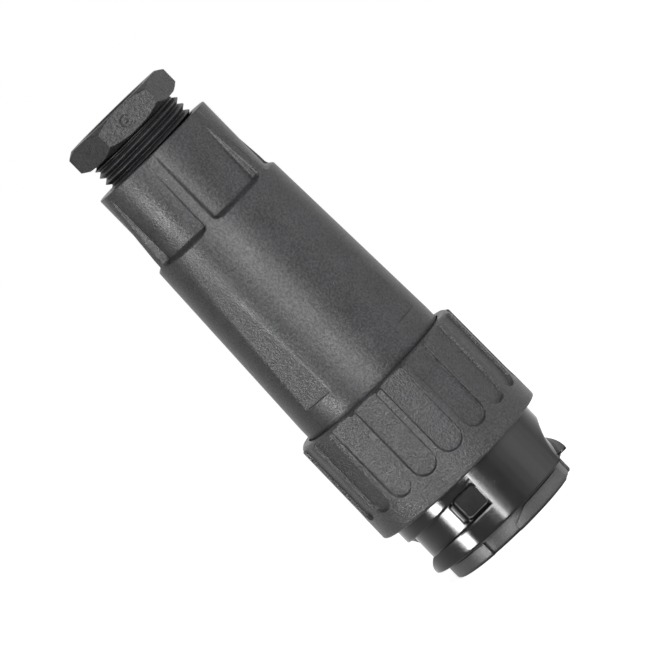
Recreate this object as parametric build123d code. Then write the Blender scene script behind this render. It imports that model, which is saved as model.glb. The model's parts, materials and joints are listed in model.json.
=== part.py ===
from build123d import *
from math import atan2, cos, degrees, pi, radians, sin, tan
import os

# A circular cable connector: an inline plug with a quarter-turn bayonet collar and a screwed cable gland.
# Sizes are in millimetres and angles in degrees. Z runs along the connector's axis. z = 0 is the mating
# rim that it stands on, and the cable leaves at the top. A feature's angle is measured about the axis
# from the side that faces -Y, positive towards +X.

# Contact carrier: the insert, with the shroud that the mating half enters
shroud_r = 12.5
shroud_wall = 1.5
cavity_depth = 12.0
rim_round = 0.5
arc_rise = 0.5
arc_pairs = 2
arc_span = 62.0
arc_height = 2.7
arc_start_height = 1.3
arc_start_span = 15.0
key_width = 2.6
key_rise = 1.0
key_setback = 1.5
flange_width = 1.7
flange_thickness = 2.0
carrier_thread_step = 0.5
carrier_thread_length = 5.0
block_step = 2.1
block_length = 6.5

# Bayonet sleeve: two tracks, each with a lead-in slot, a ramp, a pocket and a detent rib. The walls'
# distances are from the sleeve's front edge.
sleeve_setback = 3.2
sleeve_length = 19.8
sleeve_running_clearance = 0.08
sleeve_core_wall = 1.02
track_depth = 1.4
sleeve_edge_round = 0.25
track_count = 2
track_end_angle = -1.0
track_step_angle = -31.0
track_tongue_angle = -66.0
track_tip_angle = -95.0
lead_in_radius = 7.0
rear_wall_at_lead = 7.0
rear_wall_at_step = 8.0
rear_wall_at_end = 9.1
front_wall_at_tongue = 3.05
front_wall_at_end = 3.75
pocket_end_gap = 0.25
pocket_drop = 0.35
pocket_width = 5.0
pocket_height = 4.5
pocket_corner_r = 0.9
pocket_depth = 0.65
detent_angle = -23.8
detent_r = 0.5
detent_length = 4.0
detent_drop = 0.4
detent_end_bevel = 0.3

# Drive keys: inward keys of the grip ring in notches of the sleeve's rear edge
drive_key_count = 6
drive_key_width = 3.0
drive_key_rise = 0.7
drive_key_length = 4.0
drive_key_standout = 0.35
drive_key_clearance = 0.05

# Grip ring
sleeve_standout = 10.3
ring_length = 20.55
ring_wall = 2.1
ring_swell = 0.2
ring_front_round = 0.4
ring_rear_bevel_width = 0.9
ring_rear_bevel_length = 0.7
ring_rear_round = 0.2
ring_running_clearance = 0.25
flute_count = 18
flute_first_angle = 7.0
flute_width = 4.9
flute_depth = 0.6
flute_setback = 4.1

# Curved spring washer behind the sleeve
washer_room = 1.4
washer_running_gap = 0.3
washer_thickness = 0.35
washer_radial_width = 1.2
washer_carrier_gap = 0.15

# Back shell
shell_overhang = 0.4
shell_length = 44.9
straight_length = 2.45
shoulder_round = 0.6
shoulder_root_round = 0.4
flat_count = 4
flat_first_angle = 50.0
flat_front_gap = 2.0
flat_rear_gap = 3.3
flat_depth = 0.43
barrel_length = 15.5
barrel_wall = 2.5
barrel_edge_round = 0.4
land_count = 6
land_first_angle = 54.0
land_height = 1.35
land_base_width = 2.3
land_top_width = 1.55
chamber_step = 0.2
chamber_rear_step = 1.1
chamber_cone_length = 4.0
thread_fit_clearance = 0.05

# Flat sealing ring between the carrier's flange and the back shell
shell_seal_width = 1.6
shell_seal_thickness = 1.6
shell_seal_room = 1.8
shell_seal_groove = 0.8

# Gasket at the bottom of the shroud
gasket_width = 2.0
gasket_thickness = 1.2
gasket_clearance = 0.1

# Cable gland, shown with its screw turned partly out
gland_thread_r = 9.3
gland_thread_clearance = 0.1
gland_open = 4.6
gland_travel = 4.4
hex_shoulder = 0.2
hex_thickness = 4.6
hex_angle = 6.0
hex_face_margin = 0.15
hex_bevel_slope = 33.0
gland_wall = 3.0
cable_bore_bevel = 0.8
thrust_ring_thickness = 1.5
thrust_ring_lip = 0.3
thrust_gap = 0.2
bush_length = 9.0
bush_grip = 0.8
bush_gap = 0.3
bush_taper = 1.2
bush_seat_depth = 9.3
bush_seat_relief = 0.1
bush_seat_thickness = 2.0

# Contacts
contact_count = 6
contact_inset = 3.4
contact_r = 0.8
contact_setback = 3.5
contact_nose_r = 0.35
contact_nose_length = 0.7
earth_r = 1.0
earth_setback = 2.5
contact_fit_clearance = 0.03
contact_root_step = 0.4
contact_root_length = 4.0
terminal_r = 2.0
terminal_recess = 0.6
wire_hole_r = 1.25
wire_hole_depth = 8.5
earth_standout = 5.0
screw_below_end = 3.4
screw_shank_r = 0.8
screw_shank_length = 1.3
screw_head_r = 1.4
screw_head_thickness = 0.9
screw_slot_width = 0.4
screw_slot_depth = 0.4
screw_spot_depth = 0.25
screw_access_clearance = 0.3

# How far a cutter runs past what it cuts, and the sections on a curved stretch of track
overshoot = 1.0
lead_in_steps = 6

# Radii that follow from the sizes above
shroud_bore_r = shroud_r - shroud_wall
flange_r = shroud_r + flange_width
carrier_thread_r = shroud_r - carrier_thread_step
block_r = carrier_thread_r - block_step
contact_circle_r = block_r - contact_inset
rim_r = shroud_r + arc_rise
sleeve_bore_r = shroud_r + sleeve_running_clearance
track_floor_r = sleeve_bore_r + sleeve_core_wall
sleeve_r = track_floor_r + track_depth
ring_rear_r = sleeve_r + ring_wall
ring_front_r = ring_rear_r + ring_swell
shell_r = flange_r + shell_overhang
ring_rear_bore_r = shell_r + ring_running_clearance
hex_flat_r = gland_thread_r + hex_shoulder
cable_bore_r = gland_thread_r - gland_wall
thrust_ring_bore_r = cable_bore_r - thrust_ring_lip
bush_bore_r = cable_bore_r - bush_grip
bush_seat_bore_r = cable_bore_r + bush_seat_relief
gland_bore_r = gland_thread_r + gland_thread_clearance
barrel_r = gland_bore_r + barrel_wall
shoulder_r = barrel_r + land_height
chamber_front_r = carrier_thread_r - chamber_step
chamber_rear_r = carrier_thread_r - chamber_rear_step
seal_bore_r = carrier_thread_r - shell_seal_groove
seal_mouth_r = seal_bore_r + shell_seal_width

# Heights that follow from the sizes above
sleeve_front = sleeve_setback
sleeve_rear = sleeve_front + sleeve_length
flange_front = sleeve_rear + washer_room
shell_front = flange_front + flange_thickness
thread_front = shell_front + shell_seal_room
thread_rear = thread_front + carrier_thread_length
block_rear = thread_rear + block_length
contact_seat = cavity_depth + contact_root_length
contact_end = block_rear - terminal_recess
earth_end = block_rear + earth_standout
ring_front = sleeve_front + sleeve_standout
ring_rear = ring_front + ring_length
taper_start = ring_rear + straight_length
shoulder_height = shell_front + shell_length
barrel_rear = shoulder_height + barrel_length
bush_seat = shoulder_height - bush_seat_depth
bush_seat_front = bush_seat - bush_seat_thickness
chamber_rear = bush_seat_front - chamber_cone_length
bush_top = bush_seat + bush_length
thrust_front = bush_top + bush_gap + gland_travel
thrust_rear = thrust_front + thrust_ring_thickness
screw_front = thrust_rear + thrust_gap
hex_front = barrel_rear + gland_open
hex_rear = hex_front + hex_thickness
track_middle = sleeve_front + (front_wall_at_end + rear_wall_at_end) / 2


def turned(corners, rounds=(), span=360.0):
    """Revolve a closed outline of (radius, height) corners, from the -Y side on towards +X; rounds
    holds (corner, fillet radius) pairs."""
    outline = make_face(Polyline(*corners, close=True))
    for corner, radius in rounds:
        nearest = outline.vertices().sort_by_distance((*corner, 0))[0]
        outline = fillet(nearest, radius)
    return Rot(0, 0, -90) * revolve(Plane.XZ * outline, Axis.Z, revolution_arc=span)


def tube(outer_r, inner_r, low, high):
    """A plain ring between two heights."""
    return turned([(inner_r, low), (outer_r, low), (outer_r, high), (inner_r, high)])


def rod(radius, low, high):
    """A plain round bar on the axis between two heights."""
    return turned([(0, low), (radius, low), (radius, high), (0, high)])


def at_angle(angle, shape):
    """Turn a shape made on the -Y side to its own angle about the axis."""
    return Rot(0, 0, angle) * shape


def around(count, shape, first=0.0):
    """Evenly spaced copies of a shape, the first one at an angle."""
    return [at_angle(first + i * 360 / count, shape) for i in range(count)]


def radial_hole(radius, inner, outer, height):
    """A round bar that points to -Y, between two distances from the axis."""
    lying = Rot(90, 0, 0) * Cylinder(radius, outer - inner, align=(Align.CENTER, Align.CENTER, Align.MIN))
    return Pos(0, -inner, height) * lying


def front_arcs():
    """The raised arcs on the rim. Each is a stretch of rounded ring, and in every other one a slanted
    cut makes it lower where it starts."""
    inner_r = shroud_bore_r + rim_round
    corners = [(inner_r, 0), (rim_r, 0), (rim_r, arc_height), (inner_r, arc_height)]
    arc = turned(corners, [((rim_r, 0), rim_round)], arc_span)
    chord = 2 * rim_r * sin(radians(arc_start_span / 2))
    slant = degrees(atan2(arc_height - arc_start_height, chord))
    middle = (arc_height + arc_start_height) / 2
    behind = Box(2 * rim_r, 2 * rim_r, arc_height, align=(Align.CENTER, Align.MAX, Align.MIN))
    slanted = arc - at_angle(arc_start_span / 2, Pos(0, 0, middle) * Rot(0, -slant, 0) * behind)
    return around(arc_pairs, slanted) + around(arc_pairs, arc, 180 / arc_pairs)


def contact_places():
    """The angle of each outer contact."""
    return [i * 360 / contact_count for i in range(contact_count)]


def polarising_key():
    """The key on the shroud's bore, which lets the mating half in at one angle only."""
    low = key_setback
    high = cavity_depth - gasket_thickness - gasket_clearance
    block = Box(key_width, key_rise + 2 * rim_round, high - low)
    block = Pos(0, -(shroud_bore_r - key_rise / 2), (low + high) / 2) * block
    return block & rod(shroud_r - rim_round, 0, cavity_depth)


def contact_carrier():
    """Shroud, web, flange, thread and terminal block in one moulding."""
    body = turned(
        [
            (0, cavity_depth),
            (shroud_bore_r, cavity_depth),
            (shroud_bore_r, 0),
            (shroud_r, 0),
            (shroud_r, flange_front),
            (flange_r, flange_front),
            (flange_r, shell_front),
            (seal_bore_r, shell_front),
            (seal_bore_r, thread_front),
            (carrier_thread_r, thread_front),
            (carrier_thread_r, thread_rear),
            (block_r, thread_rear),
            (block_r, block_rear),
            (0, block_rear),
        ],
        [
            ((shroud_bore_r, 0), rim_round),
            ((shroud_r, 0), rim_round),
            ((flange_r, flange_front), rim_round),
        ],
    )
    for arc in front_arcs():
        body += arc
    body += polarising_key()

    root_fit = contact_root_step + contact_fit_clearance
    root_hole = rod(contact_r + root_fit, cavity_depth - overshoot, contact_seat)
    terminal_hole = rod(terminal_r + contact_fit_clearance, contact_seat, block_rear + overshoot)
    access_r = screw_head_r + screw_access_clearance
    access = radial_hole(access_r, contact_circle_r, carrier_thread_r, contact_end - screw_below_end)
    for angle in contact_places():
        body -= at_angle(angle, Pos(0, -contact_circle_r, 0) * (root_hole + terminal_hole))
        body -= at_angle(angle, access)
    body -= rod(earth_r + root_fit, cavity_depth - overshoot, contact_seat)
    body -= terminal_hole
    return body


def contact(radius, setback, end):
    """A pin with a tapered nose, a wider root in the web, and a terminal with a wire hole and a side hole."""
    outline = [
        (0, setback),
        (contact_nose_r, setback),
        (radius, setback + contact_nose_length),
        (radius, cavity_depth),
        (radius + contact_root_step, cavity_depth),
        (radius + contact_root_step, contact_seat),
        (terminal_r, contact_seat),
        (terminal_r, end),
        (0, end),
    ]
    pin = turned(outline)
    pin -= rod(wire_hole_r, end - wire_hole_depth, end + overshoot)
    height = end - screw_below_end
    pin -= radial_hole(screw_shank_r, 0, terminal_r + overshoot, height)
    spot_r = screw_head_r + screw_access_clearance / 2
    pin -= radial_hole(spot_r, terminal_r - screw_spot_depth, terminal_r + overshoot, height)
    return pin


def terminal_screw(end):
    """A slotted screw, its head on the terminal's spot face."""
    height = end - screw_below_end
    seat = terminal_r - screw_spot_depth
    top = seat + screw_head_thickness
    screw = radial_hole(screw_shank_r, seat - screw_shank_length, seat, height)
    screw += radial_hole(screw_head_r, seat, top, height)
    slot = Box(screw_slot_width, 2 * screw_slot_depth, 2 * screw_head_r + overshoot)
    return screw - Pos(0, -top, height) * slot


def track_section(angle, front, rear):
    """The track's cutter at one angle. Its walls are heights above the sleeve's front edge, and it runs
    from below the track's floor to outside the sleeve."""
    low = sleeve_front + front
    high = sleeve_front + rear
    inner_r = sleeve_bore_r
    outer_r = sleeve_r + overshoot
    outline = Polyline((inner_r, low), (outer_r, low), (outer_r, high), (inner_r, high), close=True)
    return Rot(0, 0, angle - 90) * (Plane.XZ * make_face(outline))


def lead_in():
    """The open slot. Its rear wall is a quarter circle when the sleeve is rolled out flat."""
    lead_in_angle = degrees(lead_in_radius / sleeve_r)
    sections = []
    for i in range(lead_in_steps + 1):
        turn = radians(90 * i / lead_in_steps)
        angle = track_tip_angle - lead_in_angle * cos(turn)
        rear = rear_wall_at_lead - lead_in_radius * (1 - sin(turn))
        sections.append(track_section(angle, -overshoot, rear))
    return loft(sections)


def ramp(start, end):
    """A stretch of track between two (angle, front wall, rear wall) places."""
    return loft([track_section(*start), track_section(*end)])


def between(angle, start, end):
    """The (front wall, rear wall) pair at an angle on the straight ramp between two places."""
    share = (angle - start[0]) / (end[0] - start[0])
    return [start[i] + share * (end[i] - start[i]) for i in (1, 2)]


def track_cutters():
    """One bayonet track, from its open slot to its closed end. Each wall has one bend on the way, the
    front wall at the tongue and the rear wall at the step."""
    lead = (track_tip_angle, 0, rear_wall_at_lead)
    step = (track_step_angle, 0, rear_wall_at_step)
    tongue = (track_tongue_angle, front_wall_at_tongue, between(track_tongue_angle, lead, step)[1])
    closed = (track_end_angle, front_wall_at_end, rear_wall_at_end)
    step = (track_step_angle, between(track_step_angle, tongue, closed)[0], rear_wall_at_step)
    return [lead_in(), ramp(lead, tongue), ramp(tongue, step), ramp(step, closed)]


def pocket():
    """The blind pocket at a track's closed end, with a flat floor and rounded corners."""
    half_angle = degrees((pocket_width / 2 + pocket_end_gap) / track_floor_r)
    floor = Plane((0, -(track_floor_r - pocket_depth), track_middle - pocket_drop), z_dir=(0, -1, 0))
    outline = floor * RectangleRounded(pocket_width, pocket_height, pocket_corner_r)
    return at_angle(track_end_angle - half_angle, extrude(outline, track_depth + pocket_depth + overshoot))


def detent_rib():
    """The half-round rib across the track that the mating lug snaps over."""
    bar = Cylinder(detent_r, detent_length)
    bar = chamfer(bar.edges().filter_by(GeomType.CIRCLE), detent_end_bevel)
    return at_angle(detent_angle, Pos(0, -track_floor_r, track_middle - detent_drop) * bar)


def drive_key(clearance):
    """A key on the grip ring's bore, or with a clearance the notch for it."""
    inner = sleeve_r - drive_key_rise - clearance
    outer = sleeve_r + overshoot
    low = sleeve_rear - drive_key_length - clearance
    high = sleeve_rear + drive_key_standout
    block = Box(drive_key_width + 2 * clearance, outer - inner, high - low)
    return Pos(0, -(inner + outer) / 2, (low + high) / 2) * block


def bayonet_sleeve():
    """The outer band with both tracks cut out of it, on a core whose outside is the tracks' floor."""
    core = tube(track_floor_r, sleeve_bore_r, sleeve_front, sleeve_rear)
    inside_r = sleeve_bore_r + sleeve_core_wall / 2
    corners = [
        (inside_r, sleeve_front),
        (sleeve_r, sleeve_front),
        (sleeve_r, sleeve_rear),
        (inside_r, sleeve_rear),
    ]
    band = turned(corners, [((sleeve_r, sleeve_front), sleeve_edge_round)])
    for cutter in track_cutters():
        for copy in around(track_count, cutter):
            band -= copy
    for notch in around(drive_key_count, drive_key(drive_key_clearance)):
        band -= notch
        core -= notch
    sleeve = core + band
    for hollow in around(track_count, pocket()):
        sleeve -= hollow
    for rib in around(track_count, detent_rib() - rod(inside_r, sleeve_front, sleeve_rear)):
        sleeve += rib
    return sleeve


def flute_cutter():
    """A flat-floored flute with a half-round front end, open at the ring's rear."""
    front = ring_front + flute_setback
    end = ring_rear + overshoot
    half = flute_width / 2
    floor = ring_rear_r + ring_swell / 2 - flute_depth
    slot = Circle(half) + Pos(0, (end - front - half) / 2) * Rectangle(flute_width, end - front - half)
    plane = Plane((0, -floor, front + half), x_dir=(1, 0, 0), z_dir=(0, -1, 0))
    return extrude(plane * slot, flute_depth + ring_swell + overshoot)


def grip_ring():
    """The turning ring: flat front, flutes, bevelled rear, and keys that drive the sleeve."""
    bevel_front = ring_rear - ring_rear_bevel_length
    ring = turned(
        [
            (sleeve_r, ring_front),
            (ring_front_r, ring_front),
            (ring_rear_r, bevel_front),
            (ring_rear_r - ring_rear_bevel_width, ring_rear),
            (ring_rear_bore_r, ring_rear),
            (ring_rear_bore_r, sleeve_rear),
            (sleeve_r, sleeve_rear),
        ],
        [
            ((ring_front_r, ring_front), ring_front_round),
            ((ring_rear_r, bevel_front), ring_rear_round),
        ],
    )
    for cutter in around(flute_count, flute_cutter(), flute_first_angle):
        ring -= cutter
    inside = tube(sleeve_r + ring_wall / 4, sleeve_r - drive_key_rise, ring_front, sleeve_rear)
    for key in around(drive_key_count, drive_key(0.0) & inside):
        ring += key
    return ring


def spring_washer():
    """A flat ring bent along one arc, its two raised sides against the carrier's flange."""
    inner_r = shroud_r + washer_carrier_gap
    outer_r = inner_r + washer_radial_width
    low = sleeve_rear + washer_running_gap
    high = flange_front - washer_thickness
    lower = ThreePointArc((-outer_r, high), (0, low), (outer_r, high))
    upper = Pos(0, washer_thickness) * lower
    ends = [Line(lower @ 0, upper @ 0), Line(lower @ 1, upper @ 1)]
    strip = extrude(Plane.XZ * make_face([lower, upper, *ends]), outer_r, both=True)
    return strip & tube(outer_r, inner_r, sleeve_rear, flange_front)


def shell_radius(height):
    """The radius of the back shell's tapered outside at a height."""
    share = (height - taper_start) / (shoulder_height - taper_start)
    return shell_r + share * (shoulder_r - shell_r)


def body_flat():
    """A long flat on the back shell: full depth at its front step, and gone where it meets the taper."""
    front = taper_start + flat_front_gap
    rear = shoulder_height - flat_rear_gap
    side = [
        (-(shell_radius(front) - flat_depth), front),
        (-shell_radius(rear), rear),
        (-(shell_radius(rear) + overshoot), rear),
        (-(shell_radius(front) + overshoot), front),
    ]
    return extrude(Plane.YZ * make_face(Polyline(*side, close=True)), shell_r, both=True)


def barrel_land():
    """A drafted land that stands out of the barrel at the shoulder and runs out at its end."""
    draft = (land_base_width - land_top_width) / land_height / 2
    base = barrel_r - barrel_wall / 2
    outside = shoulder_r + overshoot
    base_half = land_base_width / 2 + draft * (barrel_r - base)
    outside_half = land_top_width / 2 - draft * overshoot
    corners = [(-base_half, -base), (base_half, -base), (outside_half, -outside), (-outside_half, -outside)]
    bar = extrude(make_face(Polyline(*corners, close=True)), barrel_rear)
    top = shoulder_height - shoulder_round
    end = barrel_rear - barrel_edge_round
    return bar & turned([(base, top), (shoulder_r, top), (barrel_r, end), (base, end)])


def back_shell():
    """The rear housing: a tapered body, a shoulder, and a barrel that holds the gland."""
    body = turned(
        [
            (bush_seat_bore_r, shell_front),
            (shell_r, shell_front),
            (shell_r, taper_start),
            (shoulder_r, shoulder_height),
            (barrel_r, shoulder_height),
            (barrel_r, barrel_rear),
            (gland_bore_r, barrel_rear),
            (gland_bore_r, bush_seat),
            (bush_seat_bore_r, bush_seat),
        ],
        [
            ((shoulder_r, shoulder_height), shoulder_round),
            ((barrel_r, shoulder_height), shoulder_root_round),
            ((barrel_r, barrel_rear), barrel_edge_round),
        ],
    )
    thread_r = carrier_thread_r + thread_fit_clearance
    body -= turned(
        [
            (0, shell_front - overshoot),
            (seal_mouth_r, shell_front - overshoot),
            (seal_mouth_r, thread_front),
            (thread_r, thread_front),
            (thread_r, thread_rear),
            (chamber_front_r, thread_rear),
            (chamber_rear_r, chamber_rear),
            (bush_seat_bore_r, bush_seat_front),
            (0, bush_seat_front),
        ]
    )
    for cutter in around(flat_count, body_flat(), flat_first_angle):
        body -= cutter
    for land in around(land_count, barrel_land(), land_first_angle):
        body += land
    return body


def shell_seal():
    """The flat sealing ring beside the flange."""
    return tube(seal_mouth_r, seal_bore_r, shell_front, shell_front + shell_seal_thickness)


def mating_seal():
    """A flat gasket on the shroud's floor."""
    outer_r = shroud_bore_r - gasket_clearance
    return tube(outer_r, outer_r - gasket_width, cavity_depth - gasket_thickness, cavity_depth)


def cable_seal():
    """A rubber bush, tapered at its upper end, on the seat in the back shell."""
    return turned(
        [
            (bush_bore_r, bush_seat),
            (gland_thread_r, bush_seat),
            (gland_thread_r, bush_top - bush_taper),
            (gland_thread_r - bush_taper, bush_top),
            (bush_bore_r, bush_top),
        ]
    )


def thrust_ring():
    """The plain ring that the gland screw pushes down on the bush."""
    return tube(gland_thread_r, thrust_ring_bore_r, thrust_front, thrust_rear)


def gland_screw():
    """A hexagon head with both faces bevelled, on a shank as wide as its thread's crest."""
    corner_r = hex_flat_r / cos(pi / 6)
    slope = tan(radians(hex_bevel_slope))
    circle_r = hex_flat_r + hex_face_margin
    bevel = (corner_r - circle_r) * slope
    prism = extrude(RegularPolygon(hex_flat_r, 6, major_radius=False, rotation=30), hex_thickness)
    head = at_angle(hex_angle, Pos(0, 0, hex_front) * prism)
    head &= turned(
        [
            (0, hex_front),
            (circle_r, hex_front),
            (corner_r, hex_front + bevel),
            (corner_r, hex_rear - bevel),
            (circle_r, hex_rear),
            (0, hex_rear),
        ]
    )
    screw = head + rod(gland_thread_r, screw_front, hex_front)
    return screw - turned(
        [
            (0, screw_front - overshoot),
            (cable_bore_r, screw_front - overshoot),
            (cable_bore_r, hex_rear - cable_bore_bevel),
            (cable_bore_r + cable_bore_bevel, hex_rear),
            (cable_bore_r + cable_bore_bevel, hex_rear + overshoot),
            (0, hex_rear + overshoot),
        ]
    )


parts = {
    "contact_carrier": contact_carrier(),
    "bayonet_sleeve": bayonet_sleeve(),
    "grip_ring": grip_ring(),
    "spring_washer": spring_washer(),
    "back_shell": back_shell(),
    "shell_seal": shell_seal(),
    "mating_seal": mating_seal(),
    "cable_seal": cable_seal(),
    "thrust_ring": thrust_ring(),
    "gland_screw": gland_screw(),
    "earth_pin": contact(earth_r, earth_setback, earth_end),
    "earth_screw": terminal_screw(earth_end),
}
outer_pin = Pos(0, -contact_circle_r, 0) * contact(contact_r, contact_setback, contact_end)
outer_screw = Pos(0, -contact_circle_r, 0) * terminal_screw(contact_end)
for number, angle in enumerate(contact_places(), start=1):
    parts[f"contact_pin_{number}"] = at_angle(angle, outer_pin)
    parts[f"terminal_screw_{number}"] = at_angle(angle, outer_screw)

os.makedirs("parts", exist_ok=True)
for name, shape in parts.items():
    export_step(shape, f"parts/{name}.step")
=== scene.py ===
import json
import bpy
import numpy as np
from mathutils import Matrix, Vector


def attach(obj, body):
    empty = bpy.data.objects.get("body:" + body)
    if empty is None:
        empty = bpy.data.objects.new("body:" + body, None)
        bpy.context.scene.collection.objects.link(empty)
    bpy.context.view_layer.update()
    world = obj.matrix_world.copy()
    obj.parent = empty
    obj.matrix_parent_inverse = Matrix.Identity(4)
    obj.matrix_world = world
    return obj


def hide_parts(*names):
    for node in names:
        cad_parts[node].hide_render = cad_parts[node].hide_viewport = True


# The looks of an inline bayonet cable plug, standing on its mating rim with the cable end up.
# Lengths are in millimetres until a mesh is made, and angles are in degrees about the plug's axis,
# measured from the side that faces -Y and positive towards +X.

MM = 0.001
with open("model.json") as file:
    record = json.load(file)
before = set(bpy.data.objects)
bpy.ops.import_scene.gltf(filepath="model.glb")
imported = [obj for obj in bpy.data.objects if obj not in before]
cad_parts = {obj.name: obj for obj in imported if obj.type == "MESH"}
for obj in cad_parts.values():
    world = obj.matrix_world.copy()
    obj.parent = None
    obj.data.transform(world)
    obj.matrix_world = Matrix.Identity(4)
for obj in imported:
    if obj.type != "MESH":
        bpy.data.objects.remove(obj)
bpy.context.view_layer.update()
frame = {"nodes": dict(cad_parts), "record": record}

# Camera and picture
PICTURE_WIDTH_MM = 108.0
CAMERA_DISTANCE_MM = 1000.0
CAMERA_ELEVATION = 4.3
AXIS_BELOW_HORIZONTAL = 45.7
TARGET_X_MM = 0.45
TARGET_Z_MM = 46.0
SENSOR_MM = 36.0

# Back shell, outside
SHELL_FRONT = 26.4
SHELL_R = 14.6
TAPER_START = 36.5
SHOULDER = 71.3
SHOULDER_R = 13.25
BARREL_R = 11.9
BARREL_REAR = 86.8
FLAT_ANGLES = (50.0, 140.0, 230.0, 320.0)
FLAT_FRONT = 38.5
FLAT_REAR = 68.0
FLAT_DEPTH = 0.43
LAND_FIRST = 54.0
LAND_COUNT = 6
LAND_TOP_HALF_WIDTH = 0.78
PAD_FRONT = 71.25
PAD_FRONT_SLOPE = 1.15
PAD_SIDE_SLOPE = 0.38
PAD_CORNER_R = 1.0

# Back shell, inside: the seal's seat, the carrier's thread, the wiring chamber, the bush's seat and
# the gland screw's thread
SEAL_MOUTH_R = 12.8
SEAL_SEAT = 28.2
CARRIER_THREAD_R = 12.05
CARRIER_THREAD_REAR = 33.2
CHAMBER_FRONT_R = 11.8
CHAMBER_REAR_R = 10.9
CHAMBER_REAR = 56.0
BUSH_SEAT_R = 6.4
BUSH_SEAT_FRONT = 60.0
BUSH_SEAT_REAR = 62.0
GLAND_BORE_R = 9.4
SHELL_OUTSIDE_R = 11.6

# Grip ring
RING_FRONT = 13.5
RING_REAR = 34.05
RING_FRONT_R = 17.3
RING_REAR_R = 17.1
RING_BEVEL_FRONT = 33.35
RING_BEVEL_R = 16.2
RING_BORE_R = 15.0
RING_REAR_BORE_R = 14.85
FLUTE_COUNT = 18
FLUTE_FIRST = 7.0
FLUTE_HALF_WIDTH = 2.45
FLUTE_FLOOR = 16.6
FLUTE_FRONT = 17.6
FLUTE_WALL = 0.2
RING_OUTSIDE_R = 15.3

# Bayonet sleeve
SLEEVE_FRONT = 3.2
SLEEVE_REAR = 23.0
SLEEVE_R = 15.0
SLEEVE_BORE_R = 12.58
TRACK_FLOOR_R = 13.6
TRACK_PERIOD = 180.0
TRACK_END = -1.0
TRACK_STEP = -31.0
TRACK_TONGUE = -66.0
TRACK_TIP = -95.0
TRACK_WALL = 0.07
SLEEVE_EDGE = 0.35
LEAD_IN_RADIUS = 7.0
REAR_WALL = {"lead": 10.2, "step": 11.2, "end": 12.3}
FRONT_WALL = {"tongue": 6.25, "end": 6.95}
POCKET_ANGLE = -11.75
POCKET_MIDDLE = 9.275
POCKET_HALF_WIDTH = 2.5
POCKET_HALF_HEIGHT = 2.25
POCKET_CORNER_R = 0.9
POCKET_FLOOR = 12.95
DETENT_ANGLE = -23.8
DETENT_MIDDLE = 9.225
DETENT_R = 0.5
DETENT_HALF_LENGTH = 2.0

# Gland screw
SCREW_FRONT = 77.4
HEX_FRONT = 91.4
HEX_REAR = 96.0
HEX_HALF_FLATS = 9.5
HEX_ANGLE = 6.0
HEX_CIRCLE_R = 9.65
HEX_BEVEL_SLOPE = np.tan(np.radians(33.0))
THREAD_CREST_R = 9.3
THREAD_DEPTH = 0.8
THREAD_PITCH = 1.41
THREAD_PLACE = -0.4
CABLE_BORE_R = 6.3
GATE_ANGLE = 3.0
GATE_HEIGHT = 93.6
GATE_R = 1.0
GATE_DEPTH = 0.12
GATE_NIB_HEIGHT = 0.1

# Plastic's clouds and dust are noise scales on metres, and the painted corner shade reaches this
# far into a corner
CLOUD_SCALE = 160.0
DUST_SCALE = 330.0
DUST_COLOR = (0.42, 0.42, 0.4, 1)
PAINTED_SHADE_REACH_MM = 1.3

# Studio
FLOOR_REACH_M = 12.0
FLOOR_TONE = 0.86
FLOOR_WHITE = 0.87
ROOM_LIGHT = 0.15
PLUG_MIDDLE_MM = (0, 0, 48)
SLEEVE_MIDDLE_MM = (0, 0, 8)


def smooth_step(low, high, value):
    """0 below low, 1 above high, and between them the cubic 3 t^2 - 2 t^3."""
    t = np.clip((value - low) / (high - low), 0.0, 1.0)
    return t * t * (3.0 - 2.0 * t)


def soft_min(a, b, width):
    """The lesser of two arrays, with a rounded corner of a width where they cross."""
    share = np.clip(0.5 + 0.5 * (b - a) / width, 0.0, 1.0)
    return b * (1.0 - share) + a * share - width * share * (1.0 - share)


def around_to(angle, period, centre):
    """The angle brought to within half a period of a centre, less that centre."""
    return (angle - centre + period / 2) % period - period / 2


def spread(*knots):
    """Grid lines from knot to knot: each is (value, lines on the stretch that starts there)."""
    parts = [
        np.linspace(start, end, count, endpoint=False)
        for (start, count), (end, _) in zip(knots[:-1], knots[1:])
    ]
    return np.concatenate(parts)


def outline(corners, arc_steps=5):
    """A closed (radius, height) outline. Each corner is (radius, height, rounding, gap): a curve of
    that rounding turns it, and the run after it is cut into steps no longer than the gap. The curve
    is the parabola (1 - t)^2 start + 2 t (1 - t) corner + t^2 end."""
    plain = np.array([corner[:2] for corner in corners], float)
    points = []
    for i, (_, _, rounding, gap) in enumerate(corners):
        before = plain[i - 1] - plain[i]
        after = plain[(i + 1) % len(plain)] - plain[i]
        start = end = plain[i]
        if rounding > 0:
            u, v = before / np.linalg.norm(before), after / np.linalg.norm(after)
            half = np.arccos(np.clip(u @ v, -1, 1)) / 2
            shorter = min(np.linalg.norm(before), np.linalg.norm(after))
            reach = min(rounding / np.tan(half), 0.45 * shorter)
            start, end = plain[i] + u * reach, plain[i] + v * reach
            t = np.linspace(0, 1, arc_steps)[:, None]
            points.append((1 - t) ** 2 * start + 2 * t * (1 - t) * plain[i] + t**2 * end)
        else:
            points.append(plain[i][None])
        following = corners[(i + 1) % len(corners)]
        stop = plain[(i + 1) % len(plain)]
        run = np.linalg.norm(stop - end) - following[2]
        count = int(run // gap)
        if count > 0:
            t = np.linspace(0, 1, count + 2)[1:-1, None]
            points.append(end + (stop - end) * (run / np.linalg.norm(stop - end)) * t)
    return np.concatenate(points)


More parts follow.
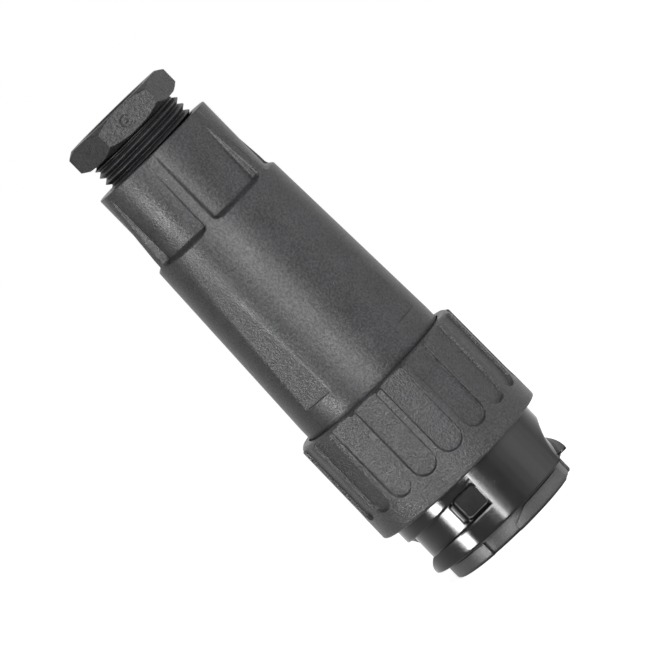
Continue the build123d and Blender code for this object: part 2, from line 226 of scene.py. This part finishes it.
def make_mesh(name, points, quads):
    """A smooth mesh from points in millimetres and four-cornered faces, with its faces outward."""
    corners = points[quads]
    a, b, c, d = (corners[:, i] for i in range(4))
    volume = (np.cross(a, b) * c).sum() + (np.cross(a, c) * d).sum()
    if volume < 0:
        quads = quads[:, ::-1]
    mesh = bpy.data.meshes.new(name)
    mesh.vertices.add(len(points))
    mesh.vertices.foreach_set("co", (points * MM).astype(np.float32).ravel())
    mesh.loops.add(quads.size)
    mesh.loops.foreach_set("vertex_index", np.ascontiguousarray(quads, np.int32).ravel())
    mesh.polygons.add(len(quads))
    mesh.polygons.foreach_set("loop_start", np.arange(0, quads.size, 4, dtype=np.int32))
    mesh.polygons.foreach_set("use_smooth", np.ones(len(quads), bool))
    mesh.update(calc_edges=True)
    mesh.validate()
    piece = bpy.data.objects.new(name, mesh)
    bpy.context.scene.collection.objects.link(piece)
    return piece


def ring_surface(name, radius, height, angle):
    """A closed ring: rows run round its section and columns round the axis, and both wrap. The
    point at radius r, height z and angle a is (r sin a, -r cos a, z)."""
    turn = np.radians(angle)[None, :]
    points = np.stack([radius * np.sin(turn), -radius * np.cos(turn), height + 0 * turn], axis=-1)
    rows, columns = points.shape[:2]
    i = np.arange(rows)[:, None]
    j = np.arange(columns)[None, :]
    quads = np.stack(
        [
            i * columns + j,
            i * columns + (j + 1) % columns,
            (i + 1) % rows * columns + (j + 1) % columns,
            (i + 1) % rows * columns + j,
        ],
        axis=-1,
    )
    return make_mesh(name, points.reshape(-1, 3), quads.reshape(-1, 4))


def back_shell_surface():
    """Radius = the turned outline, cut to each long flat, a tilted plane whose radius at an angle a
    from its middle is d(z) / cos a, and to the barrel's radius in six pads with rounded corners."""
    section = outline(
        [
            (SEAL_MOUTH_R, SHELL_FRONT, 0.1, 0.8),
            (SHELL_R, SHELL_FRONT, 0.2, 1.5),
            (SHELL_R, TAPER_START, 2.0, 0.6),
            (SHELL_R - 0.0776, FLAT_FRONT - 0.25, 0, 0.07),
            (SHELL_R - 0.097, FLAT_FRONT + 0.25, 0, 1.2),
            (SHOULDER_R, PAD_FRONT - 0.1, 0, 0.08),
            (SHOULDER_R - 0.12, PAD_FRONT + PAD_FRONT_SLOPE + 1.2, 0, 0.8),
            (BARREL_R + 0.02, BARREL_REAR, 0.35, 0.5),
            (GLAND_BORE_R, BARREL_REAR, 0.15, 3.0),
            (GLAND_BORE_R, BUSH_SEAT_REAR, 0.1, 3.0),
            (BUSH_SEAT_R, BUSH_SEAT_REAR, 0.1, 1.0),
            (BUSH_SEAT_R, BUSH_SEAT_FRONT, 0.1, 1.5),
            (CHAMBER_REAR_R, CHAMBER_REAR, 0.5, 4.0),
            (CHAMBER_FRONT_R, CARRIER_THREAD_REAR, 0.05, 0.5),
            (CARRIER_THREAD_R, CARRIER_THREAD_REAR, 0.05, 2.0),
            (CARRIER_THREAD_R, SEAL_SEAT, 0.05, 0.5),
            (SEAL_MOUTH_R, SEAL_SEAT, 0.05, 1.0),
        ]
    )
    angle = np.arange(0, 360, 0.75)
    r = section[:, :1] + 0 * angle
    z = section[:, 1:]
    outside = r > SHELL_OUTSIDE_R
    slope = (SHELL_R - SHOULDER_R) / (SHOULDER - TAPER_START)
    near = SHELL_R - slope * (FLAT_FRONT - TAPER_START) - FLAT_DEPTH
    far = SHELL_R - slope * (FLAT_REAR - TAPER_START)
    plane = near + (far - near) * (z - FLAT_FRONT) / (FLAT_REAR - FLAT_FRONT)
    step = smooth_step(FLAT_FRONT - 0.12, FLAT_FRONT + 0.08, z)
    deep = outside & (z > FLAT_FRONT - 0.3) & (z < FLAT_REAR + 4)
    for middle in FLAT_ANGLES:
        side = around_to(angle, 360.0, middle)[None, :]
        limit = plane / np.cos(np.radians(np.clip(side, -60, 60))) + (1 - step) * 2.0
        r = np.where(deep, soft_min(r, limit, 0.05), r)

    pad = 360.0 / LAND_COUNT
    across = np.radians(around_to(angle, pad, LAND_FIRST + pad / 2))[None, :] * BARREL_R
    into = np.clip(z - PAD_FRONT - PAD_FRONT_SLOPE / 3, 0, PAD_CORNER_R)
    corner = PAD_CORNER_R - np.sqrt(PAD_CORNER_R**2 - (PAD_CORNER_R - into) ** 2)
    half = np.radians(pad / 2) * BARREL_R - LAND_TOP_HALF_WIDTH - corner
    sides = smooth_step(0.0, PAD_SIDE_SLOPE, half - np.abs(across))
    carved = sides * smooth_step(PAD_FRONT, PAD_FRONT + PAD_FRONT_SLOPE, z)
    on_barrel = (section[:, :1] > BARREL_R - 0.5) & (z > PAD_FRONT) & (z < BARREL_REAR - 0.05)
    floor = np.minimum(r, BARREL_R)
    r = np.where(on_barrel, r - carved * (r - floor), r)
    return ring_surface("back_shell_skin", r, z, angle)


def grip_ring_surface():
    """Radius = the turned outline, cut to a flat floor, its radius over cos a, inside each flute.
    A flute is all that is nearer than its half width to a line along the axis, so its front end is
    half round."""
    section = outline(
        [
            (RING_BORE_R, RING_FRONT, 0.08, 0.5),
            (RING_FRONT_R, RING_FRONT, 0.4, 0.6),
            (RING_FRONT_R - 0.037, FLUTE_FRONT - 0.2, 0, 0.1),
            (RING_FRONT_R - 0.065, FLUTE_FRONT + FLUTE_HALF_WIDTH + 0.2, 0, 1.4),
            (RING_REAR_R, RING_BEVEL_FRONT, 0.25, 0.35),
            (RING_BEVEL_R, RING_REAR, 0.2, 0.5),
            (RING_REAR_BORE_R, RING_REAR, 0.05, 2.0),
            (RING_REAR_BORE_R, SLEEVE_REAR, 0.04, 1.0),
            (RING_BORE_R, SLEEVE_REAR, 0.04, 2.0),
        ]
    )
    period = 360.0 / FLUTE_COUNT
    one = spread((-10.0, 3), (-8.75, 9), (-7.4, 28), (7.4, 9), (8.75, 3), (10.0, 0))
    angle = (one[None, :] + period * np.arange(FLUTE_COUNT)[:, None]).ravel() + FLUTE_FIRST
    r = section[:, :1] + 0 * angle
    z = section[:, 1:] + 0 * angle
    turn = np.radians(around_to(angle, period, FLUTE_FIRST))[None, :]
    x = r * np.sin(turn)
    centre = FLUTE_FRONT + FLUTE_HALF_WIDTH
    gap = np.where(z > centre, np.abs(x), np.hypot(x, z - centre)) - FLUTE_HALF_WIDTH
    inside = smooth_step(0.02, -FLUTE_WALL, gap) * (r > RING_OUTSIDE_R)
    floor = np.minimum(r, FLUTE_FLOOR / np.cos(turn))
    return ring_surface("grip_ring_skin", r - inside * (r - floor), z, angle)


def track_walls(angle):
    """The heights of the track's two walls at each angle, and the shares of track and of open slot
    there. The rear wall is a quarter circle of the lead-in radius on the rolled-out sleeve, and
    then two straight ramps; the front wall is two ramps. Beyond the track both run on evenly to the
    next one."""
    middle = TRACK_END - TRACK_PERIOD / 2
    a = around_to(angle, TRACK_PERIOD, middle) + middle
    lead = np.degrees(LEAD_IN_RADIUS / SLEEVE_R)
    slot = TRACK_TIP - lead
    along = np.clip((TRACK_TIP - a) / lead, 0, 1)
    curve = REAR_WALL["lead"] - LEAD_IN_RADIUS * (1 - np.sqrt(1 - along**2))
    before = TRACK_END - TRACK_PERIOD
    low = SLEEVE_FRONT + 0.05
    places = [TRACK_TIP, TRACK_STEP, TRACK_END]
    ramp = np.interp(a, places, [REAR_WALL[name] for name in ("lead", "step", "end")])
    slot_rear = REAR_WALL["lead"] - LEAD_IN_RADIUS
    outside = np.interp(a, [before, slot], [REAR_WALL["end"], slot_rear])
    rear = np.where(a > TRACK_TIP, ramp, np.where(a > slot, curve, outside))
    front = np.interp(
        a,
        [before, slot, TRACK_TIP, TRACK_TONGUE, TRACK_END],
        [FRONT_WALL["end"], low, low, FRONT_WALL["tongue"], FRONT_WALL["end"]],
    )
    entered = smooth_step(slot - 0.05, slot + 0.35, a)
    in_track = entered * smooth_step(TRACK_END + 0.02, TRACK_END - 0.35, a)
    in_slot = in_track * smooth_step(TRACK_TIP + 0.35, TRACK_TIP - 0.05, a)
    return front, rear, in_track, in_slot, a


def sleeve_surface():
    """Rows follow the track's walls: from the front edge to the front wall, across the floor, from
    the rear wall to the rear edge, and back along the bore. Radius drops to the floor between the
    walls, to a flat floor in the pocket, and rises by sqrt(r^2 - x^2) at the detent rib."""
    slot = TRACK_TIP - np.degrees(LEAD_IN_RADIUS / SLEEVE_R)
    half_turn = spread(
        (TRACK_END - TRACK_PERIOD, 4),
        (TRACK_END - TRACK_PERIOD + 0.5, 45),
        (slot - 0.4, 8),
        (slot + 0.5, 14),
        (slot + 4.0, 30),
        (TRACK_TIP - 0.4, 8),
        (TRACK_TIP + 0.5, 60),
        (-27.0, 44),
        (TRACK_END - 0.6, 8),
        (TRACK_END, 0),
    )
    angle = np.concatenate([half_turn, half_turn + TRACK_PERIOD])
    front, rear, in_track, in_slot, a = track_walls(angle)
    rows = []
    for inset, rise in ((0.9, 0), (SLEEVE_EDGE, 0), (0.12, 0.03), (0.03, 0.12), (0, SLEEVE_EDGE)):
        rows.append((SLEEVE_R - inset + 0 * a, SLEEVE_FRONT + rise + 0 * a, in_slot))
    edge_top = SLEEVE_FRONT + SLEEVE_EDGE
    for share in np.linspace(0.1, 1.0, 8):
        z = edge_top + share * (front - edge_top - 0.12)
        rows.append((SLEEVE_R + 0 * a, np.maximum(z, edge_top + 0.01), in_slot))
    rows.append((SLEEVE_R - 0.02 * in_track, front - 0.05, in_slot))
    rows.append((SLEEVE_R - 0.08 * in_track, front, in_slot))
    for share in np.concatenate([[0.0], np.linspace(0.02, 0.98, 26), [1.0]]):
        z = front + TRACK_WALL + share * (rear - front - 2 * TRACK_WALL)
        rows.append((SLEEVE_R + 0 * a, z, in_track))
    rows.append((SLEEVE_R - 0.08 * in_track, rear, 0 * a))
    rows.append((SLEEVE_R - 0.02 * in_track, rear + 0.06, 0 * a))
    for share in np.linspace(0.1, 1.0, 10) ** 1.5:
        rows.append((SLEEVE_R + 0 * a, rear + 0.1 + share * (SLEEVE_REAR - rear - 0.1), 0 * a))
    r = np.array([row[0] for row in rows])
    z = np.array([row[1] for row in rows])
    depth = np.array([row[2] for row in rows])
    r = np.minimum(r, r * (1 - depth) + TRACK_FLOOR_R * depth)

    x = np.radians(a - POCKET_ANGLE)[None, :] * TRACK_FLOOR_R
    qx = np.abs(x) - POCKET_HALF_WIDTH + POCKET_CORNER_R
    qz = np.abs(z - POCKET_MIDDLE) - POCKET_HALF_HEIGHT + POCKET_CORNER_R
    beyond = np.hypot(np.maximum(qx, 0), np.maximum(qz, 0))
    gap = beyond + np.minimum(np.maximum(qx, qz), 0) - POCKET_CORNER_R
    floor = POCKET_FLOOR / np.cos(np.radians(np.clip(a - POCKET_ANGLE, -15, 15)))
    in_pocket = smooth_step(0.03, -0.09, gap) * (r < TRACK_FLOOR_R + 0.5)
    r = r - in_pocket * (r - np.minimum(r, floor))
    x = np.radians(a - DETENT_ANGLE)[None, :] * TRACK_FLOOR_R
    ends = smooth_step(DETENT_HALF_LENGTH, DETENT_HALF_LENGTH - 0.25, np.abs(z - DETENT_MIDDLE))
    rib = np.sqrt(np.clip(DETENT_R**2 - x**2, 0, None)) * ends
    r = r + rib * (r < TRACK_FLOOR_R + 0.5)

    bore_z = np.linspace(SLEEVE_REAR, SLEEVE_FRONT + 0.4, 12)[:, None] + 0 * a
    bore_r = SLEEVE_BORE_R + 0 * bore_z
    rear_r = np.array([14.7, 13.4, 12.7])[:, None] + 0 * a
    rear_z = SLEEVE_REAR + 0 * rear_r
    front_r = np.array([12.62, 12.75, 13.4])[:, None] + 0 * a
    front_z = SLEEVE_FRONT + np.array([0.1, 0.02, 0.0])[:, None] + 0 * a
    r = np.concatenate([r, rear_r, bore_r, front_r])
    z = np.concatenate([z, rear_z, bore_z, front_z])
    return ring_surface("bayonet_sleeve_skin", r, z, angle)


def gland_screw_surface():
    """Radius = the lesser of a hexagon, half its width across flats over cos a, and the two bevel
    cones on the head, with a shallow round gate mark on one flat; on the shank the crest's radius
    less a V thread that follows z - pitch * a / 360."""
    section = outline(
        [
            (CABLE_BORE_R, SCREW_FRONT, 0.15, 1.0),
            (8.6, SCREW_FRONT, 0.1, 0.3),
            (THREAD_CREST_R, SCREW_FRONT + 0.7, 0, 0.12),
            (THREAD_CREST_R, HEX_FRONT, 0, 0.1),
            (THREAD_CREST_R, HEX_REAR, 0, 0.5),
            (CABLE_BORE_R + 0.8, HEX_REAR, 0.3, 0.3),
            (CABLE_BORE_R, HEX_REAR - 0.8, 0.3, 2.0),
        ]
    )
    one = spread((-30.0, 14), (-27.0, 26), (0.0, 26), (27.0, 14), (30.0, 0))
    angle = (one[None, :] + 60.0 * np.arange(6)[:, None]).ravel() + HEX_ANGLE
    base = section[:, :1] + 0 * angle
    z = section[:, 1:] + 0 * angle
    outer = base > THREAD_CREST_R - 1e-6

    hexagon = HEX_HALF_FLATS / np.cos(np.radians(around_to(angle, 60.0, HEX_ANGLE)))[None, :]
    front_cone = HEX_CIRCLE_R + (z - HEX_FRONT) / HEX_BEVEL_SLOPE
    rear_cone = HEX_CIRCLE_R + (HEX_REAR - z) / HEX_BEVEL_SLOPE
    head = soft_min(soft_min(hexagon, front_cone, 0.08), rear_cone, 0.08)
    aside = np.radians(around_to(angle, 360.0, GATE_ANGLE))[None, :] * HEX_HALF_FLATS
    from_gate = np.hypot(aside, z - GATE_HEIGHT)
    head = head - GATE_DEPTH * smooth_step(GATE_R + 0.06, GATE_R - 0.1, from_gate)
    head = head + GATE_NIB_HEIGHT * smooth_step(0.38, 0.2, from_gate)

    phase = ((z - THREAD_PLACE - THREAD_PITCH * angle / 360.0) / THREAD_PITCH) % 1.0
    valley = np.clip(1.16 * (1 - np.abs(2 * phase - 1)) - 0.1, 0, 1)
    relief = smooth_step(HEX_FRONT - 0.75, HEX_FRONT - 0.25, z)
    start = smooth_step(SCREW_FRONT + 0.6, SCREW_FRONT + 1.6, z)
    thread = THREAD_CREST_R - THREAD_DEPTH * np.maximum(valley * start, relief)
    on_head = z > HEX_FRONT - 1e-6
    outside = np.where(on_head, np.maximum(head, THREAD_CREST_R - THREAD_DEPTH), thread)
    r = np.where(outer, outside, base)
    return ring_surface("gland_screw_skin", r, z, angle)


def node_material(name, build):
    """A new node material, whose nodes, links and surface shader go to a function that fills it."""
    material = bpy.data.materials.new(name)
    material.use_nodes = True
    nodes, links = material.node_tree.nodes, material.node_tree.links
    shader = nodes["Principled BSDF"]
    build(nodes, links, shader)
    return material


def multiplied(nodes, links, value, factor):
    """A value times a factor, each a socket or a number."""
    node = nodes.new("ShaderNodeMath")
    node.operation = "MULTIPLY"
    for socket, given in zip(node.inputs, (value, factor)):
        if isinstance(given, float):
            socket.default_value = given
        else:
            links.new(given, socket)
    return node.outputs["Value"]


def mapped(nodes, links, value, low, high, from_low=0.0, from_high=1.0):
    """A value carried from one range to another, and held at its ends."""
    node = nodes.new("ShaderNodeMapRange")
    node.inputs["From Min"].default_value = from_low
    node.inputs["From Max"].default_value = from_high
    node.inputs["To Min"].default_value = low
    node.inputs["To Max"].default_value = high
    links.new(value, node.inputs["Value"])
    return node.outputs["Result"]


def noise(nodes, links, place, scale, detail):
    """Even noise of a scale on the object's coordinates."""
    texture = nodes.new("ShaderNodeTexNoise")
    texture.inputs["Scale"].default_value = scale
    texture.inputs["Detail"].default_value = detail
    texture.inputs["Roughness"].default_value = 0.6
    links.new(place.outputs["Object"], texture.inputs["Vector"])
    return texture.outputs["Fac"]


def moulded(name, color, roughness, grain_mm, grain_depth, shine=0.5, specks=0.0, painted_shade_strength=0.7):
    """Moulded plastic: a spark-eroded grain of a size and depth in millimetres, faint flow clouds,
    dust specks, and painted shade that darkens the colour and lowers the shine in the inner
    corners."""

    def build(nodes, links, shader):
        shader.inputs["IOR"].default_value = 1.5
        place = nodes.new("ShaderNodeTexCoord")
        grain = noise(nodes, links, place, 1.0 / (grain_mm * MM), 2.0)
        clouds = noise(nodes, links, place, CLOUD_SCALE, 5.0)
        bump = nodes.new("ShaderNodeBump")
        bump.inputs["Distance"].default_value = grain_depth * MM
        links.new(grain, bump.inputs["Height"])
        links.new(bump.outputs["Normal"], shader.inputs["Normal"])
        links.new(
            mapped(nodes, links, clouds, roughness - 0.05, roughness + 0.07, 0.3, 0.7),
            shader.inputs["Roughness"],
        )
        # Painted shade: ambient occlusion darkens the colour and lowers the shine in inner corners,
        # creases and gaps, where shade falls; the grain's mottle is multiplied in with it.
        corner = nodes.new("ShaderNodeAmbientOcclusion")
        corner.samples = 6
        corner.inputs["Distance"].default_value = PAINTED_SHADE_REACH_MM * MM
        painted_shade_factor = mapped(nodes, links, corner.outputs["AO"], 1.0 - painted_shade_strength, 1.0, 0.35, 0.85)
        mottle = min(0.25, 4.0 * grain_depth)
        pits = mapped(nodes, links, grain, 1.0 - mottle, 1.0 + mottle, 0.35, 0.65)
        grain_and_painted_shade = multiplied(nodes, links, painted_shade_factor, pits)
        links.new(multiplied(nodes, links, grain_and_painted_shade, shine), shader.inputs["Specular IOR Level"])
        tone = nodes.new("ShaderNodeMix")
        tone.data_type = "RGBA"
        tone.inputs["A"].default_value = (*[c * 0.82 for c in color], 1)
        tone.inputs["B"].default_value = (*[c * 1.18 for c in color], 1)
        links.new(mapped(nodes, links, clouds, 0.0, 1.0, 0.32, 0.68), tone.inputs["Factor"])
        surface = nodes.new("ShaderNodeVectorMath")
        surface.operation = "SCALE"
        links.new(tone.outputs["Result"], surface.inputs["Vector"])
        links.new(grain_and_painted_shade, surface.inputs["Scale"])
        dust = nodes.new("ShaderNodeTexVoronoi")
        dust.inputs["Scale"].default_value = DUST_SCALE
        links.new(place.outputs["Object"], dust.inputs["Vector"])
        dots = mapped(nodes, links, dust.outputs["Distance"], 0.0, specks, 0.035, 0.02)
        dusty = nodes.new("ShaderNodeMix")
        dusty.data_type = "RGBA"
        dusty.inputs["B"].default_value = DUST_COLOR
        links.new(dots, dusty.inputs["Factor"])
        links.new(surface.outputs["Vector"], dusty.inputs["A"])
        links.new(dusty.outputs["Result"], shader.inputs["Base Color"])

    return node_material(name, build)


def metal(name, color, roughness, turning_mm):
    """Turned and plated metal: fine rings about the axis, worn bright and dull in clouds."""

    def build(nodes, links, shader):
        shader.inputs["Metallic"].default_value = 1.0
        place = nodes.new("ShaderNodeTexCoord")
        rings = nodes.new("ShaderNodeTexWave")
        rings.bands_direction = "Z"
        rings.inputs["Scale"].default_value = 1.0 / (turning_mm * MM)
        rings.inputs["Distortion"].default_value = 1.5
        clouds = nodes.new("ShaderNodeTexNoise")
        clouds.inputs["Scale"].default_value = 900.0
        for texture in (rings, clouds):
            links.new(place.outputs["Object"], texture.inputs["Vector"])
        bump = nodes.new("ShaderNodeBump")
        bump.inputs["Distance"].default_value = 0.004 * MM
        links.new(rings.outputs["Fac"], bump.inputs["Height"])
        links.new(bump.outputs["Normal"], shader.inputs["Normal"])
        finish = mapped(nodes, links, clouds.outputs["Fac"], roughness - 0.06, roughness + 0.1)
        links.new(finish, shader.inputs["Roughness"])
        tone = nodes.new("ShaderNodeValToRGB")
        tone.color_ramp.elements[0].color = (*[c * 0.8 for c in color], 1)
        tone.color_ramp.elements[1].color = (*[min(c * 1.1, 1.0) for c in color], 1)
        links.new(clouds.outputs["Fac"], tone.inputs["Fac"])
        links.new(tone.outputs["Color"], shader.inputs["Base Color"])

    return node_material(name, build)


# Slot: color, roughness, grain (mm), grain depth (mm), shine, specks, painted corner shade
PLASTICS = {
    "shell_moulding": ((0.031, 0.031, 0.033), 0.36, 0.36, 0.06, 0.20, 0.3, 0.85),
    "ring_moulding": ((0.034, 0.034, 0.036), 0.33, 0.34, 0.15, 0.24, 0.3, 0.85),
    "sleeve_gloss": ((0.005, 0.005, 0.006), 0.15, 0.5, 0.006, 0.27, 0.1, 0.4),
    "insert_moulding": ((0.042, 0.042, 0.043), 0.38, 0.3, 0.03, 0.38, 0.2),
    "gland_moulding": ((0.024, 0.024, 0.026), 0.38, 0.4, 0.09, 0.18, 0.3, 0.95),
    "thrust_moulding": ((0.05, 0.05, 0.05), 0.45, 0.2, 0.01),
    "seal_rubber": ((0.02, 0.02, 0.02), 0.6, 0.3, 0.01),
    "bush_rubber": ((0.025, 0.025, 0.025), 0.6, 0.3, 0.01),
}
# Slot: color, roughness, turning mark (mm)
METALS = {
    "contact_brass": ((0.78, 0.6, 0.32), 0.24, 0.15),
    "spring_steel": ((0.58, 0.58, 0.6), 0.3, 0.3),
    "screw_steel": ((0.62, 0.62, 0.6), 0.3, 0.2),
}
FINISHES = {slot: moulded(slot.replace("_", " "), *look) for slot, look in PLASTICS.items()}
FINISHES |= {slot: metal(slot.replace("_", " "), *look) for slot, look in METALS.items()}

slot_of = {part["node"]: part["material_slot"] for part in frame["record"]["subparts"]}
for node, piece in frame["nodes"].items():
    piece.data.materials.clear()
    piece.data.materials.append(FINISHES[slot_of[node]])


def stand_for(piece, node, body):
    """A piece takes its node's place, body and finish."""
    piece.data.materials.append(FINISHES[slot_of[node]])
    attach(piece, body)
    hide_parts(node)


stand_for(back_shell_surface(), "back_shell", "housing")
stand_for(grip_ring_surface(), "grip_ring", "coupling")
stand_for(sleeve_surface(), "bayonet_sleeve", "coupling")
stand_for(gland_screw_surface(), "gland_screw", "gland")


def lamp(name, place_mm, size_mm, watts, target_mm=PLUG_MIDDLE_MM, gloss_only=False):
    """A soft rectangular lamp that faces the plug, and may light it by its highlights alone."""
    light = bpy.data.lights.new(name, "AREA")
    light.shape = "RECTANGLE"
    light.size, light.size_y = size_mm[0] * MM, size_mm[1] * MM
    light.energy = watts
    holder = bpy.data.objects.new(name, light)
    place, target = Vector(place_mm) * MM, Vector(target_mm) * MM
    holder.location = place
    holder.rotation_mode = "QUATERNION"
    holder.rotation_quaternion = (target - place).to_track_quat("-Z", "Y")
    holder.visible_diffuse = not gloss_only
    bpy.context.scene.collection.objects.link(holder)


def background_share(nodes, links, most=1.0):
    """A factor for the rays that show the background: those of camera, gloss and glass."""
    path = nodes.new("ShaderNodeLightPath")
    share = path.outputs["Is Camera Ray"]
    for ray in ("Is Glossy Ray", "Is Transmission Ray"):
        greater = nodes.new("ShaderNodeMath")
        greater.operation = "MAXIMUM"
        links.new(share, greater.inputs[0])
        links.new(path.outputs[ray], greater.inputs[1])
        share = greater.outputs["Value"]
    scaled = nodes.new("ShaderNodeMath")
    scaled.operation = "MULTIPLY"
    scaled.inputs[1].default_value = most
    links.new(share, scaled.inputs[0])
    return scaled.outputs["Value"]


def studio():
    """A floor and a world that are white where they are seen, and soft lamps on the plug. Gloss
    doesn't see the floor, so that the lamps below its level draw the sleeve's bright bands."""
    reach = FLOOR_REACH_M
    corners = [(-reach, -reach, 0), (reach, -reach, 0), (reach, reach, 0), (-reach, reach, 0)]
    mesh = bpy.data.meshes.new("studio_floor")
    mesh.from_pydata(corners, [], [(0, 1, 2, 3)])
    floor = bpy.data.objects.new("studio_floor", mesh)
    floor.visible_glossy = False
    bpy.context.scene.collection.objects.link(floor)

    def build(nodes, links, shader):
        shader.inputs["Base Color"].default_value = (FLOOR_TONE, FLOOR_TONE, FLOOR_TONE, 1)
        shader.inputs["Roughness"].default_value = 0.9
        shader.inputs["Specular IOR Level"].default_value = 0.0
        shader.inputs["Emission Color"].default_value = (1, 1, 1, 1)
        glow = background_share(nodes, links, FLOOR_WHITE)
        links.new(glow, shader.inputs["Emission Strength"])

    mesh.materials.append(node_material("studio floor", build))

    world = bpy.data.worlds.new("studio")
    bpy.context.scene.world = world
    world.use_nodes = True
    nodes, links = world.node_tree.nodes, world.node_tree.links
    room = nodes["Background"]
    room.inputs["Color"].default_value = (1, 1, 1, 1)
    room.inputs["Strength"].default_value = ROOM_LIGHT
    white = nodes.new("ShaderNodeBackground")
    white.inputs["Color"].default_value = (1, 1, 1, 1)
    both = nodes.new("ShaderNodeMixShader")
    links.new(background_share(nodes, links), both.inputs["Fac"])
    links.new(room.outputs["Background"], both.inputs[1])
    links.new(white.outputs["Background"], both.inputs[2])
    links.new(both.outputs["Shader"], nodes["World Output"].inputs["Surface"])

    lamp("streak", (-330, -190, -35), (90, 60), 1.4, SLEEVE_MIDDLE_MM)
    lamp("strip", (-344, -153, 60), (60, 190), 1.75, gloss_only=True)
    lamp("panel", (-110, -400, 85), (300, 160), 1.5, gloss_only=True)
    lamp("front", (120, -510, 220), (260, 260), 1.7)
    lamp("near", (-40, -1150, 40), (560, 260), 6.5, (0, 0, 30))
    lamp("glow", (-10, -520, -50), (50, 150), 1.0, SLEEVE_MIDDLE_MM)
    # Three lamps behind each other make one with soft sides.
    for width in (180, 420, 700):
        lamp("broad", (430 + width / 50, -160, 60), (width, 460), width / 1050)


def camera():
    """A long lens on the -Y side, a little towards the cable end, and rolled so that the plug lies
    along the picture's diagonal with its cable end at the upper left."""
    lens = SENSOR_MM * CAMERA_DISTANCE_MM / PICTURE_WIDTH_MM
    data = bpy.data.cameras.new("photo_camera")
    data.sensor_width = SENSOR_MM
    data.lens = lens
    data.clip_start, data.clip_end = 0.1, 20.0
    holder = bpy.data.objects.new("photo_camera", data)
    rise, roll = np.radians(CAMERA_ELEVATION), np.radians(AXIS_BELOW_HORIZONTAL)
    back = np.array([0.0, -np.cos(rise), np.sin(rise)])
    forward_end = np.array([0.0, -np.sin(rise), -np.cos(rise)])
    side = np.cross(back, forward_end)
    right = np.cos(roll) * forward_end + np.sin(roll) * side
    up = -np.sin(roll) * forward_end + np.cos(roll) * side
    target = np.array([TARGET_X_MM, 0.0, TARGET_Z_MM])
    place = (target + back * CAMERA_DISTANCE_MM) * MM
    pose = np.eye(4)
    pose[:3, :3] = np.stack([right, up, back], axis=1)
    pose[:3, 3] = place
    holder.matrix_world = Matrix(pose.tolist())
    bpy.context.scene.collection.objects.link(holder)
    bpy.context.scene.camera = holder


studio()
camera()
bpy.context.scene.view_settings.view_transform = "Standard"
